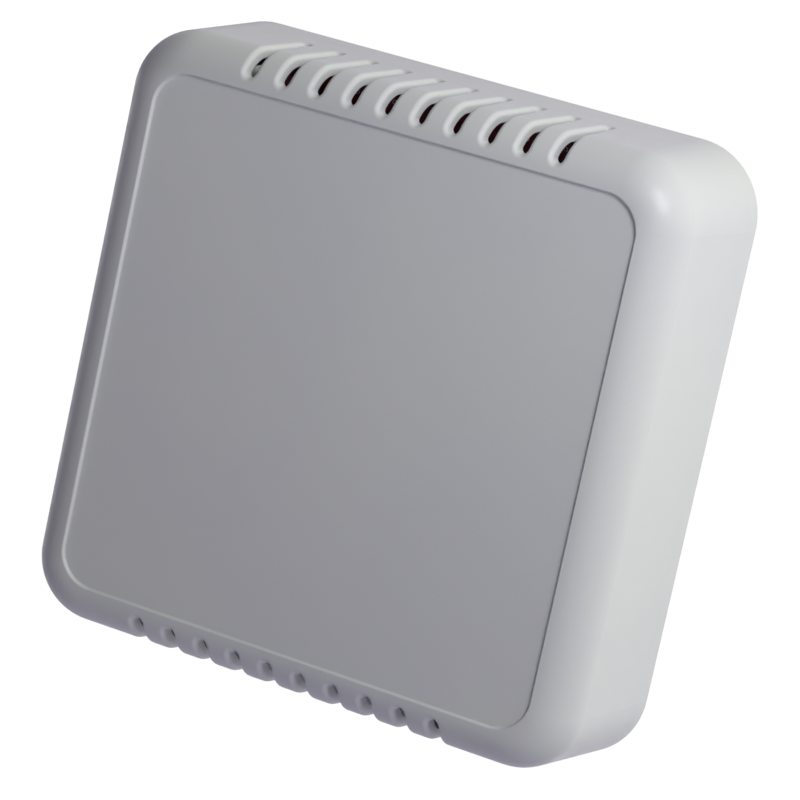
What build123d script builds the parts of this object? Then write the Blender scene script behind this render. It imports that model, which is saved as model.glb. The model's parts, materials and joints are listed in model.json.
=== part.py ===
from build123d import *
import os
from math import tan, radians

# A compact square wireless access point for a wall or ceiling box, in millimetres.
# Every piece is drawn lying on its back: x to the right, y up the wall, z out of the wall,
# with z = 0 on the mounting plane. STAND then turns it upright, so that in the finished
# part X is right, Z is up and the front looks along -Y.
STAND = Plane.XZ.location

# Case
CASE = 86.0                 # outer width and height at the mounting plane
DEPTH = 25.0                # mounting plane to the front rim
CASE_CORNER = 10.1          # corner radius seen from the front
DRAFT = 3.0                 # degrees that each side leans in towards the front
EDGE_ROUND = 6.0            # round between the sides and the front
WALL = 1.5
RECESS = 72.8               # sunken front panel, measured at the rim
RECESS_CORNER = 5.0
RECESS_DEPTH = 0.5
RECESS_SLOPE = 18.0         # degrees that the step round the panel leans outwards
RECESS_SOFT = 0.2           # rounds at the top and the bottom of the step
CAVITY_DEPTH = DEPTH - RECESS_DEPTH - WALL

# Vents: slots that wrap from the front over the top and the bottom edge
VENT_COUNT = 10
VENT_PITCH = 5.14
VENT_WIDTH = 1.55           # at the front; each slot narrows towards its back end
VENT_BACK_WIDTH = 0.84
VENT_TAPER_START = 17.0     # distance from the wall
VENT_FRONT_END = 37.95      # distance of the slots' front ends from the centre
VENT_BACK_END = 9.1         # distance of the slots' back ends from the wall
VENT_LIP = 0.75

# Back plate
PLATE_GAP = 0.25            # gap between the plate's edge and the cover
PLATE_THICK = 2.0
RIM_GAP = 0.8               # the plate's upstand stays this far inside the cover
RIM_THICK = 1.2
RIM_TOP = 6.0
CATCH_X = 21.5              # snap catches, left and right of the centre
CATCH_WIDTH = 7.0
CATCH_RISE = 0.35
POSTS_X, POST_Y = (-23.4, 26.0), 38.0   # slim posts that keep the cover's edges from being pushed in
POST_RADIUS = 1.5
POST_TOP = 21.6
POST_ROUND = 1.0
SCREW_SPACING = 60.3        # wall-box screw centres
SCREW_SLOT_WIDTH = 4.5
SCREW_SLOT_LENGTH = 9.0
ENTRY = (-12.0, 12.0, -34.0, -18.0)     # cable entry: x from, x to, y from, y to
POCKET_DEPTH = 0.6          # shallow pockets in the plate's back, between its ribs
POCKETS = [(-22.0, 22.0, 18.0, 26.0), (0.0, 22.0, 18.0, 26.0), (22.0, 22.0, 18.0, 26.0),
           (-25.0, -21.5, 18.0, 25.0), (25.0, -21.5, 18.0, 25.0)]      # x, y, width, height

# Main board
BOARD_X, BOARD_Y = 37.0, 39.0           # half sizes
BOARD_CORNER = 4.0
POST_ROOM = 0.4
BOARD_LOW, BOARD_TOP = 7.0, 8.6
BEND_X, BEND_TOP = 14.0, -13.0          # notch that leaves the cable room to bend
SIDE_NOTCH_X, SIDE_NOTCH_Y = 25.0, 5.5  # notches that let a screwdriver reach the wall screws
BOARD_SCREWS = [(-33.5, 9.5), (33.5, 9.5), (-33.5, -28.0), (33.5, -28.0)]
PIN_TIP = 5.8                           # soldered pins end here, under the board

# Ethernet jack, mouth towards -y
JACK_X = 8.1
JACK_Y = (-13.5, 4.5)
JACK_TOP = 20.2
JACK_SHEET = 0.3
PLUG_X = 5.9
PLUG_DEPTH = 11.0
PLUG_Z = (9.9, 16.7)

# Terminal block: two ways in a column, wires enter from +x
TERMINAL_X = (-24.0, -16.0)
TERMINAL_Y = -24.92
TERMINAL_TOP = 18.6
TERMINAL_PITCH = 5.08
SCREW_X = -19.8
WAYS = {"plus": TERMINAL_Y + TERMINAL_PITCH / 2, "minus": TERMINAL_Y - TERMINAL_PITCH / 2}
CHAMBER = (-23.3, -17.0, 2.05, 9.95, 16.95)   # x from, x to, half width, z from, z to
CAGE = (-22.7, -17.4, 1.85, 10.1, 15.2)
CLAMP_PLATE = (13.05, 13.5)

# Supply
TRANSFORMER = (23.7, -21.5)
TRANSFORMER_TOP = 20.3
CORE_X, CORE_Y = 6.5, 3.25              # half sizes
CORE_LEG = 1.8                          # half width of the centre leg
WINDOW_X = 4.5                          # half width over both windows
WINDOW_Z = (11.6, 18.6)
BOBBIN_WALL = 0.6
BOBBIN_Y = 6.5
TRANSFORMER_PIN_Y = 5.6
CAPACITORS = [(13.5, -8.4), (22.6, -9.0)]
CAPACITOR_RADIUS = 4.0
CAPACITOR_TOP = 20.1

# Radio, shield and heat sink
CAN_X = 14.0
CAN_Y = (9.0, 27.0)
CAN_TOP = 11.0
CAN_SHEET = 0.3
CAN_MIDDLE = sum(CAN_Y) / 2
PAD_TOP = 12.3
SINK_X = 17.5
SINK_BASE = 1.5
SINK_TOP = 20.3
FIN_COUNT = 8
FIN_THICK = 0.9
FIN_SPAN = 13.0
SINK_PIN_X = 15.8
ANTENNA_TOP = 14.6
ANTENNA_SHEET = 0.3

# Reset switch
RESET = (-20.1, 5.9)
RESET_HALF = 3.1
RESET_BODY_TOP = 11.7
RESET_PLUNGER_RADIUS = 1.7
RESET_PLUNGER = (10.9, 13.4)

# Pin header
HEADER_START, HEADER_Y = -25.6, 13.3
HEADER_PITCH = 2.54
HEADER_PINS = 4


def block(x0, x1, y0, y1, z0, z1):
    """A box from its lowest to its highest corner."""
    middle = Pos((x0 + x1) / 2, (y0 + y1) / 2, (z0 + z1) / 2)
    return middle * Box(x1 - x0, y1 - y0, z1 - z0)


def rod(x, y, radius, z0, z1):
    """A round bar square to the wall."""
    return Pos(x, y, (z0 + z1) / 2) * Cylinder(radius, z1 - z0)


def chip(x, y, width, height, z1, z0=BOARD_TOP):
    """A box about a centre, standing on the board."""
    return block(x - width / 2, x + width / 2, y - height / 2, y + height / 2, z0, z1)


def group(pieces):
    """Separate solids that share one node."""
    return Compound(children=[piece.solid() for piece in pieces])


def square_shell(half, corner, z0, z1):
    """A square plate with rounded corners."""
    return Pos(0, 0, z0) * extrude(RectangleRounded(2 * half, 2 * half, corner), amount=z1 - z0)


# ---------------------------------------------------------------- case

def drafted_block(side, corner, depth, edge):
    """A rounded square block that leans in towards the front and has a rounded front edge."""
    body = extrude(RectangleRounded(side, side, corner), amount=depth, taper=DRAFT)
    return fillet(body.faces().sort_by(Axis.Z)[-1].edges(), edge)


def vent_outline(beyond):
    """A slot seen from the top: even through the rounded edge, then narrower to its round back end."""
    half, back_half = VENT_WIDTH / 2, VENT_BACK_WIDTH / 2
    end_centre = VENT_BACK_END + back_half
    corners = [(-half, beyond), (-half, VENT_TAPER_START), (-back_half, end_centre),
               (back_half, end_centre), (half, VENT_TAPER_START), (half, beyond)]
    return Polygon(*corners, align=None) + Pos(0, end_centre) * Circle(back_half)


def vent_cutters():
    """One cutter for each slot: a round-ended slot from the front joined to one from the top."""
    beyond = CASE
    wall_inside = CASE / 2 - WALL - 2.5
    front_slot = SlotOverall(beyond - VENT_FRONT_END, VENT_WIDTH, rotation=90)
    front_slot = extrude(Pos(0, (beyond + VENT_FRONT_END) / 2, VENT_TAPER_START) * front_slot, amount=beyond)
    top_plane = Plane((0, wall_inside, 0), x_dir=(-1, 0, 0), z_dir=(0, 1, 0))
    top_slot = extrude(top_plane * vent_outline(beyond), amount=beyond)
    slot = front_slot + top_slot
    cutters = []
    for i in range(VENT_COUNT):
        x = (i - (VENT_COUNT - 1) / 2) * VENT_PITCH
        cutters.append(Pos(x, 0, 0) * slot)
        cutters.append(Pos(x, 0, 0) * mirror(slot, Plane.XZ))
    return cutters


def soften_vents(vented, plain):
    """Round the lips of the slots, which are the vented block's edges on the plain block's skin."""
    skin = plain.faces()
    own = [edge.center() for edge in plain.edges()]
    lips = []
    for edge in vented.edges():
        middle = edge.position_at(0.5)
        near_vent = abs(middle.Y) > VENT_FRONT_END - 0.1 and middle.Z > VENT_BACK_END - 0.1
        if not near_vent or abs(middle.X) > VENT_COUNT / 2 * VENT_PITCH:
            continue
        on_skin = min(face.distance_to(middle) for face in skin) < 1e-4
        is_own = min((edge.center() - other).length for other in own) < 0.01
        across = edge.position_at(0) - edge.position_at(1)
        between_vents = abs(across.X) > VENT_WIDTH + 0.2 or abs(middle.X / VENT_PITCH % 1) < 0.05
        if on_skin and not is_own and not between_vents:
            lips.append(edge)
    return fillet(lips, VENT_LIP)


def recess_cutter():
    """A shallow pan that widens towards the front, standing on the sunken panel."""
    floor_side = RECESS - 2 * RECESS_DEPTH * tan(radians(RECESS_SLOPE))
    outline = RectangleRounded(floor_side, floor_side, RECESS_CORNER)
    return Pos(0, 0, DEPTH - RECESS_DEPTH) * extrude(outline, amount=2 * RECESS_DEPTH, taper=-RECESS_SLOPE)


def soften_recess(sunk, plain):
    """Round the top and the bottom of the step, but not its corner seams or the plain block's edges."""
    floor, middle = DEPTH - RECESS_DEPTH, DEPTH - RECESS_DEPTH / 2
    step = []
    for edge in sunk.edges():
        centre = edge.position_at(0.5)
        is_seam = abs(centre.Z - middle) < RECESS_DEPTH / 4
        is_own = centre.Z > middle and min(other.distance_to(centre) for other in plain.edges()) < 1e-4
        if centre.Z > floor - 0.01 and not is_seam and not is_own:
            step.append(edge)
    return fillet(step, RECESS_SOFT)


def front_cover():
    plain = drafted_block(CASE, CASE_CORNER, DEPTH, EDGE_ROUND)
    sunk = soften_recess(plain - recess_cutter(), plain)
    vented = soften_vents(sunk - vent_cutters(), sunk)
    cavity = drafted_block(CASE - 2 * WALL, CASE_CORNER - WALL, CAVITY_DEPTH, EDGE_ROUND - WALL)
    cover = vented - cavity
    catch_low, catch_high = 4.5, 6.0
    inside = CASE / 2 - WALL - catch_high * tan(radians(DRAFT))
    for x in (-CATCH_X, CATCH_X):
        for side in (-1, 1):
            y = side * inside
            reach = sorted((y - side * CATCH_RISE, y + side * WALL / 2))
            half = CATCH_WIDTH / 2
            cover += block(x - half, x + half, reach[0], reach[1], catch_low, catch_high)
    return cover


def post_places():
    return [(x, side * POST_Y) for x in POSTS_X for side in (-1, 1)]


def back_plate():
    half = CASE / 2 - WALL - PLATE_GAP
    corner = CASE_CORNER - WALL - PLATE_GAP
    rim = CASE / 2 - WALL - RIM_GAP
    rim_corner = CASE_CORNER - WALL - RIM_GAP
    plate = square_shell(half, corner, 0, PLATE_THICK)
    plate += square_shell(rim, rim_corner, 0, RIM_TOP) \
        - square_shell(rim - RIM_THICK, rim_corner - RIM_THICK, 0, RIM_TOP)
    relief = 1.0
    for x in (-CATCH_X, CATCH_X):
        for side in (-1, 1):
            for edge in (x - CATCH_WIDTH / 2 - relief, x + CATCH_WIDTH / 2):
                reach = sorted((side * (rim - RIM_THICK - 0.5), side * (rim + 0.5)))
                plate -= block(edge, edge + relief, reach[0], reach[1], PLATE_THICK, RIM_TOP + 1)
    for x, y in post_places():
        post = rod(x, y, POST_RADIUS, PLATE_THICK / 2, POST_TOP)
        plate += fillet(post.edges().sort_by(Axis.Z)[-1], POST_ROUND)
    for x, y in BOARD_SCREWS:
        plate += rod(x, y, 3.0, PLATE_THICK / 2, BOARD_LOW)
        plate -= rod(x, y, 1.25, PLATE_THICK, BOARD_LOW + 1)
    for x in (-SCREW_SPACING / 2, SCREW_SPACING / 2):
        slot = SlotOverall(SCREW_SLOT_LENGTH, SCREW_SLOT_WIDTH)
        plate -= Pos(x, 0, -1) * extrude(slot, amount=PLATE_THICK + 2)
    for x, y, width, height in POCKETS:
        plate -= Pos(x, y, 0) * extrude(RectangleRounded(width, height, 2.0), amount=POCKET_DEPTH)
    plate -= block(*ENTRY, -1, PLATE_THICK + 1)
    return plate


def entry_grommet():
    """A rubber lining for the cable entry, with a flange on the inside of the plate."""
    x0, x1, y0, y1 = ENTRY
    flange, lining, flange_top = 1.2, 0.8, PLATE_THICK + 0.8
    ring = block(x0, x1, y0, y1, 0.2, flange_top)
    ring += block(x0 - flange, x1 + flange, y0 - flange, y1 + flange, PLATE_THICK, flange_top)
    return ring - block(x0 + lining, x1 - lining, y0 + lining, y1 - lining, -1, flange_top + 1)


# ---------------------------------------------------------------- board

def header_pin_places():
    return [(HEADER_START + i * HEADER_PITCH, HEADER_Y) for i in range(HEADER_PINS)]


def transformer_pin_places():
    x, y = TRANSFORMER
    return [(x + (i - 1.5) * 2.9, y + side * TRANSFORMER_PIN_Y) for side in (-1, 1) for i in range(4)]


def terminal_pin_places():
    return [(CHAMBER[0] + 0.3, y) for y in WAYS.values()]


def main_board():
    board = extrude(RectangleRounded(2 * BOARD_X, 2 * BOARD_Y, BOARD_CORNER), amount=BOARD_TOP - BOARD_LOW)
    board = Pos(0, 0, BOARD_LOW) * board
    board -= block(-BEND_X, BEND_X, -BOARD_Y - 1, BEND_TOP, 0, DEPTH)
    for side in (-1, 1):
        reach = sorted((side * SIDE_NOTCH_X, side * (BOARD_X + 1)))
        board -= block(reach[0], reach[1], -SIDE_NOTCH_Y, SIDE_NOTCH_Y, 0, DEPTH)
        board -= rod(side * SINK_PIN_X, CAN_MIDDLE, 1.0, 0, DEPTH)
    for x, y in BOARD_SCREWS:
        board -= rod(x, y, 1.45, 0, DEPTH)
    for x, y in post_places():
        board -= rod(x, y, POST_RADIUS + POST_ROOM, 0, DEPTH)
    for x, y in header_pin_places() + transformer_pin_places() + terminal_pin_places():
        board -= rod(x, y, 0.6, 0, DEPTH)
    return board


def board_screws():
    head_radius, head_height = 2.3, 1.6
    screws = []
    for x, y in BOARD_SCREWS:
        head = rod(x, y, head_radius, BOARD_TOP, BOARD_TOP + head_height)
        head = fillet(head.edges().sort_by(Axis.Z)[-1], 0.6)
        cross = chip(x, y, 2.6, 0.6, BOARD_TOP + 2, BOARD_TOP + 0.9)
        cross += chip(x, y, 0.6, 2.6, BOARD_TOP + 2, BOARD_TOP + 0.9)
        screws.append(head + rod(x, y, 1.2, 3.0, BOARD_TOP) - cross)
    return group(screws)


# ---------------------------------------------------------------- Ethernet jack

def jack_shell():
    y0, y1 = JACK_Y
    inner_x, inner_top = JACK_X - JACK_SHEET, JACK_TOP - JACK_SHEET
    shell = block(-JACK_X, JACK_X, y0, y1, BOARD_TOP, JACK_TOP)
    shell -= block(-inner_x, inner_x, y0 + JACK_SHEET, y1 - JACK_SHEET, BOARD_TOP - 1, inner_top)
    window = 7.2
    return shell - block(-window, window, y0 - 1, y0 + 1, BOARD_TOP - 1, inner_top - 0.3)


def jack_insert():
    y0, y1 = JACK_Y
    gap = 0.05
    inner_x = JACK_X - JACK_SHEET - gap
    inner_top = JACK_TOP - JACK_SHEET - gap
    body = block(-inner_x, inner_x, y0 + JACK_SHEET, y1 - JACK_SHEET - gap, BOARD_TOP, inner_top)
    body -= block(-PLUG_X, PLUG_X, y0 - 1, y0 + PLUG_DEPTH, PLUG_Z[0], PLUG_Z[1])
    body -= block(-3.1, 3.1, y0 - 1, y0 + 7, PLUG_Z[1] - 1, PLUG_Z[1] + 1.6)
    for light in jack_light_blocks():
        body -= light
    return body


def jack_light_blocks():
    y0 = JACK_Y[0] + JACK_SHEET
    return [block(side * 5.3 - 1.5, side * 5.3 + 1.5, y0, y0 + 3.0, PLUG_Z[1] + 0.5, PLUG_Z[1] + 2.5)
            for side in (-1, 1)]


def jack_lights():
    return group(jack_light_blocks())


def jack_contacts():
    count, pitch, half = 8, 1.02, 0.18
    y0 = JACK_Y[0]
    springs = []
    for i in range(count):
        x = (i - (count - 1) / 2) * pitch
        springs.append(block(x - half, x + half, y0 + 2.0, y0 + PLUG_DEPTH, PLUG_Z[0], PLUG_Z[0] + 0.5))
    return group(springs)


def lan_magnetics():
    body = chip(-17.5, -5.5, 14.0, 9.6, 14.4, BOARD_TOP + 0.1)
    return chamfer(body.faces().sort_by(Axis.Z)[-1].edges(), 0.4)


def lan_magnetics_pins():
    pins = []
    for i in range(8):
        x = -17.5 + (i - 3.5) * 1.6
        for side in (-1, 1):
            y = -5.5 + side * 4.8
            foot = sorted((y, y + side * 1.3))
            pins.append(block(x - 0.25, x + 0.25, foot[0], foot[1], BOARD_TOP, BOARD_TOP + 0.25))
    return group(pins)


# ---------------------------------------------------------------- terminal block

def way_block(y, shape):
    x0, x1, half, z0, z1 = shape
    return block(x0, x1, y - half, y + half, z0, z1)


def terminal_housing():
    length = 2 * TERMINAL_PITCH
    x0, x1 = TERMINAL_X
    body = block(x0, x1, TERMINAL_Y - length / 2, TERMINAL_Y + length / 2, BOARD_TOP, TERMINAL_TOP)
    for y in WAYS.values():
        body -= way_block(y, CHAMBER)
        body -= block(CHAMBER[1] - 0.1, x1 + 1, y - 1.6, y + 1.6, 10.8, 13.4)
        body -= rod(SCREW_X, y, 1.95, CHAMBER[4] - 0.1, TERMINAL_TOP + 1)
        body -= block(CHAMBER[0], CHAMBER[0] + 0.6, y - 0.6, y + 0.6, BOARD_TOP - 1, CHAMBER[3] + 0.1)
    return body


def terminal_screw(y):
    head_low, head_top = CHAMBER[4] + 0.1, TERMINAL_TOP - 0.2
    screw = rod(SCREW_X, y, 1.75, head_low, head_top) + rod(SCREW_X, y, 0.95, CLAMP_PLATE[1] + 0.1, head_low)
    return screw - block(SCREW_X - 2, SCREW_X + 2, y - 0.3, y + 0.3, head_top - 0.7, head_top + 1)


def terminal_cage(y):
    cage = way_block(y, CAGE)
    cage -= block(CAGE[0] - 1, CAGE[1] + 1, y - 1.35, y + 1.35, CAGE[3] + 0.7, 13.9)
    return cage - rod(SCREW_X, y, 1.0, 13.0, CAGE[4] + 1)


def terminal_pins():
    pins = []
    leg_x = CHAMBER[0] + 0.1
    for y in WAYS.values():
        plate = block(leg_x, CHAMBER[1] - 0.2, y - 1.0, y + 1.0, *CLAMP_PLATE)
        plate += block(leg_x, leg_x + 0.4, y - 1.0, y + 1.0, CHAMBER[3] + 0.05, CLAMP_PLATE[0] + 0.1)
        pins.append(plate + block(leg_x, leg_x + 0.4, y - 0.4, y + 0.4, PIN_TIP, CLAMP_PLATE[0]))
    return group(pins)


# ---------------------------------------------------------------- supply

def transformer_core():
    x, y = TRANSFORMER
    core = block(x - CORE_X, x + CORE_X, y - CORE_Y, y + CORE_Y, 9.9, TRANSFORMER_TOP)
    for side in (-1, 1):
        window = sorted((x + side * CORE_LEG, x + side * WINDOW_X))
        core -= block(window[0], window[1], y - CORE_Y - 1, y + CORE_Y + 1, *WINDOW_Z)
    return core


def transformer_bobbin():
    x, y = TRANSFORMER
    gap = 0.05
    z0, z1 = WINDOW_Z[0] + gap, WINDOW_Z[1] - gap
    tube_x, tube_y = CORE_LEG + BOBBIN_WALL, CORE_Y + BOBBIN_WALL
    flange_x = WINDOW_X - gap
    bobbin = chip(x, y, 2 * tube_x, 2 * tube_y, z1, z0)
    for low in (z0, z1 - BOBBIN_WALL):
        bobbin += chip(x, y, 2 * flange_x, 2 * BOBBIN_Y, low + BOBBIN_WALL, low)
    bobbin -= chip(x, y, 2 * (CORE_LEG + gap), 2 * (CORE_Y + gap), DEPTH, 0)
    for side in (-1, 1):
        foot = sorted((y + side * (CORE_Y + BOBBIN_WALL), y + side * BOBBIN_Y))
        bobbin += block(x - CORE_X, x + CORE_X, foot[0], foot[1], BOARD_TOP, 9.8)
        bobbin += block(x - flange_x, x + flange_x, foot[0], foot[1], BOARD_TOP, z0 + 0.1)
    for px, py in transformer_pin_places():
        bobbin -= rod(px, py, 0.35, 0, 10.5)
    return bobbin


def transformer_winding():
    x, y = TRANSFORMER
    gap = 0.05
    z0, z1 = WINDOW_Z[0] + BOBBIN_WALL + 2 * gap, WINDOW_Z[1] - BOBBIN_WALL - 2 * gap
    outline = RectangleRounded(2 * (WINDOW_X - 0.35), 2 * (BOBBIN_Y - 0.5), 1.6)
    wire = Pos(x, y, z0) * extrude(outline, amount=z1 - z0)
    hole = chip(x, y, 2 * (CORE_LEG + BOBBIN_WALL + gap), 2 * (CORE_Y + BOBBIN_WALL + gap), z1 + 1, z0 - 1)
    return wire - hole


def transformer_pins():
    return group([rod(x, y, 0.3, PIN_TIP, 10.4) for x, y in transformer_pin_places()])


def bulk_capacitors():
    cans = []
    for x, y in CAPACITORS:
        can = rod(x, y, CAPACITOR_RADIUS, BOARD_TOP + 0.2, CAPACITOR_TOP)
        can = fillet(can.edges().filter_by(GeomType.CIRCLE), 0.5)
        groove = rod(x, y, CAPACITOR_RADIUS + 1, 10.4, 10.9) - rod(x, y, CAPACITOR_RADIUS - 0.3, 10.4, 10.9)
        cans.append(can - groove)
    return group(cans)


def power_inductor():
    body = chip(13.6, 1.9, 7.6, 7.6, 12.8)
    return chamfer(body.edges().filter_by(Axis.Z), 1.2)


def power_chips():
    places = [(21.4, 0.6, 4.0, 5.0), (-27.8, -10.6, 4.0, 5.0), (28.2, -8.8, 3.0, 3.0)]
    return group([chip(x, y, w, h, BOARD_TOP + 1.4) for x, y, w, h in places])


def rectifier_diodes():
    return group([chip(-27.8, -28.0 + i * 3.6, 4.4, 2.5, BOARD_TOP + 2.2) for i in range(4)])


def fuse():
    return chip(-20.0, -15.6, 6.1, 2.6, BOARD_TOP + 2.4)


# ---------------------------------------------------------------- radio

def shield_frame():
    x, (y0, y1) = CAN_X, CAN_Y
    lip = 1.4
    frame = block(-x, x, y0, y1, BOARD_TOP, CAN_TOP)
    frame -= block(-x + CAN_SHEET, x - CAN_SHEET, y0 + CAN_SHEET, y1 - CAN_SHEET, 0, CAN_TOP - CAN_SHEET)
    return frame - block(-x + lip, x - lip, y0 + lip, y1 - lip, 0, DEPTH)


def shield_lid():
    x, (y0, y1) = CAN_X, CAN_Y
    gap = 0.05
    out = gap + CAN_SHEET
    lid = block(-x - out, x + out, y0 - out, y1 + out, 9.6, CAN_TOP + CAN_SHEET)
    return lid - block(-x - gap, x + gap, y0 - gap, y1 + gap, 0, CAN_TOP)


def radio_chip():
    return chip(-3.5, CAN_MIDDLE, 10.0, 10.0, 9.6)


def memory_chip():
    return chip(7.6, CAN_MIDDLE + 1.5, 6.0, 8.0, 9.6)


def crystal():
    return chip(7.6, CAN_Y[0] + 3.2, 3.2, 2.5, 9.4)


def thermal_pad_lower():
    return chip(-3.5, CAN_MIDDLE, 9.0, 9.0, CAN_TOP, 9.6)


def thermal_pad_upper():
    return chip(0, CAN_MIDDLE, 24.0, 14.0, PAD_TOP, CAN_TOP + CAN_SHEET)


def heat_sink():
    y0, y1 = CAN_Y
    base_top = PAD_TOP + SINK_BASE
    sink = block(-SINK_X, SINK_X, y0, y1, PAD_TOP, base_top)
    for i in range(FIN_COUNT):
        x = -FIN_SPAN + i * 2 * FIN_SPAN / (FIN_COUNT - 1)
        sink += block(x - FIN_THICK / 2, x + FIN_THICK / 2, y0, y1, base_top - 0.1, SINK_TOP)
    for side in (-1, 1):
        sink -= rod(side * SINK_PIN_X, CAN_MIDDLE, 1.0, 0, DEPTH)
    return sink


def heat_sink_pins():
    base_top = PAD_TOP + SINK_BASE
    pins = []
    for side in (-1, 1):
        x = side * SINK_PIN_X
        pin = rod(x, CAN_MIDDLE, 0.9, PIN_TIP, base_top) + rod(x, CAN_MIDDLE, 1.6, base_top, base_top + 1.4)
        pins.append(pin)
    return group(pins)


def antenna(x0, x1, y0, y1, feed_side):
    """A stamped sheet on two legs: a feed and a ground leg at one end, and a slot in the sheet."""
    low = ANTENNA_TOP - ANTENNA_SHEET
    sheet = block(x0, x1, y0, y1, low, ANTENNA_TOP)
    wide = x1 - x0 > y1 - y0
    if wide:
        edge = x0 if feed_side < 0 else x1 - ANTENNA_SHEET
        legs = [(edge, edge + ANTENNA_SHEET, y0, y0 + 1.5), (edge, edge + ANTENNA_SHEET, y1 - 1.5, y1)]
        slot = block(x0 + 3, x1 - 3, (y0 + y1) / 2 - 0.4, (y0 + y1) / 2 + 0.4, low - 1, ANTENNA_TOP + 1)
    else:
        edge = y0 if feed_side < 0 else y1 - ANTENNA_SHEET
        legs = [(x0, x0 + 1.5, edge, edge + ANTENNA_SHEET), (x1 - 1.5, x1, edge, edge + ANTENNA_SHEET)]
        slot = block((x0 + x1) / 2 - 0.4, (x0 + x1) / 2 + 0.4, y0 + 3, y1 - 3, low - 1, ANTENNA_TOP + 1)
    for leg in legs:
        sheet += block(*leg, BOARD_TOP, ANTENNA_TOP)
    return sheet - slot


# ---------------------------------------------------------------- controls and small parts

def reset_switch_base():
    x, y = RESET
    body = chip(x, y, 2 * RESET_HALF, 2 * RESET_HALF, RESET_BODY_TOP)
    return body - rod(x, y, RESET_PLUNGER_RADIUS + 0.15, RESET_PLUNGER[0] - 0.5, DEPTH)


def reset_switch_cover():
    x, y = RESET
    plate = chip(x, y, 2 * RESET_HALF, 2 * RESET_HALF, RESET_BODY_TOP + 0.3, RESET_BODY_TOP)
    return plate - rod(x, y, RESET_PLUNGER_RADIUS + 0.15, 0, DEPTH)


def reset_plunger():
    plunger = rod(*RESET, RESET_PLUNGER_RADIUS, *RESET_PLUNGER)
    return fillet(plunger.edges().sort_by(Axis.Z)[-1], 0.25)


def status_leds():
    return group([chip(x, 29.3, 1.6, 0.9, BOARD_TOP + 0.7) for x in (-5.0, 0.0, 5.0)])


def debug_header():
    start = HEADER_START - HEADER_PITCH / 2
    end = start + HEADER_PINS * HEADER_PITCH
    half = HEADER_PITCH / 2
    body = block(start, end, HEADER_Y - half, HEADER_Y + half, BOARD_TOP, BOARD_TOP + 2.5)
    for x, y in header_pin_places():
        body -= chip(x, y, 0.64, 0.64, DEPTH)
    return body


def debug_header_pins():
    return group([chip(x, y, 0.6, 0.6, 17.0, PIN_TIP) for x, y in header_pin_places()])


def chip_rows(size, height, rows):
    """Small two-ended chips in straight rows: each row is a start, a step and a count."""
    pieces = []
    for x, y, step_x, step_y, count in rows:
        for i in range(count):
            pieces.append(chip(x + i * step_x, y + i * step_y, *size, BOARD_TOP + height))
    return group(pieces)


def chip_resistors():
    rows = [(-35.0, 20.0, 2.4, 0.0, 5), (25.0, 20.0, 2.4, 0.0, 5), (10.6, 7.4, 2.4, 0.0, 5)]
    return chip_rows((1.6, 0.8), 0.5, rows)


def chip_capacitors():
    rows = [(-35.0, 17.6, 2.6, 0.0, 4), (26.6, 16.0, 2.6, 0.0, 4), (-13.6, 7.0, 3.0, 0.0, 8)]
    return chip_rows((1.6, 0.9), 0.9, rows)


NODES = {
    "front_cover": front_cover(),
    "back_plate": back_plate(),
    "entry_grommet": entry_grommet(),
    "main_board": main_board(),
    "board_screws": board_screws(),
    "jack_shell": jack_shell(),
    "jack_insert": jack_insert(),
    "jack_lights": jack_lights(),
    "jack_contacts": jack_contacts(),
    "lan_magnetics": lan_magnetics(),
    "lan_magnetics_pins": lan_magnetics_pins(),
    "terminal_housing": terminal_housing(),
    "terminal_pins": terminal_pins(),
    "transformer_core": transformer_core(),
    "transformer_bobbin": transformer_bobbin(),
    "transformer_winding": transformer_winding(),
    "transformer_pins": transformer_pins(),
    "bulk_capacitors": bulk_capacitors(),
    "power_inductor": power_inductor(),
    "power_chips": power_chips(),
    "rectifier_diodes": rectifier_diodes(),
    "fuse": fuse(),
    "shield_frame": shield_frame(),
    "shield_lid": shield_lid(),
    "radio_chip": radio_chip(),
    "memory_chip": memory_chip(),
    "crystal": crystal(),
    "thermal_pad_lower": thermal_pad_lower(),
    "thermal_pad_upper": thermal_pad_upper(),
    "heat_sink": heat_sink(),
    "heat_sink_pins": heat_sink_pins(),
    "antenna_upper_left": antenna(-36.0, -18.5, 24.5, 29.5, 1),
    "antenna_upper_right": antenna(18.5, 36.0, 24.5, 29.5, -1),
    "antenna_lower_left": antenna(-36.3, -31.3, -24.0, -8.0, 1),
    "antenna_lower_right": antenna(31.3, 36.3, -24.0, -8.0, 1),
    "reset_switch_base": reset_switch_base(),
    "reset_switch_cover": reset_switch_cover(),
    "reset_plunger": reset_plunger(),
    "status_leds": status_leds(),
    "debug_header": debug_header(),
    "debug_header_pins": debug_header_pins(),
    "chip_resistors": chip_resistors(),
    "chip_capacitors": chip_capacitors(),
}
for way, way_y in WAYS.items():
    NODES[f"terminal_screw_{way}"] = terminal_screw(way_y)
    NODES[f"terminal_cage_{way}"] = terminal_cage(way_y)

os.makedirs("parts", exist_ok=True)
for name, shape in NODES.items():
    export_step(STAND * shape, f"parts/{name}.step")
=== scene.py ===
import json
import math

import bmesh
import bpy
from mathutils import Matrix, Vector


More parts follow.
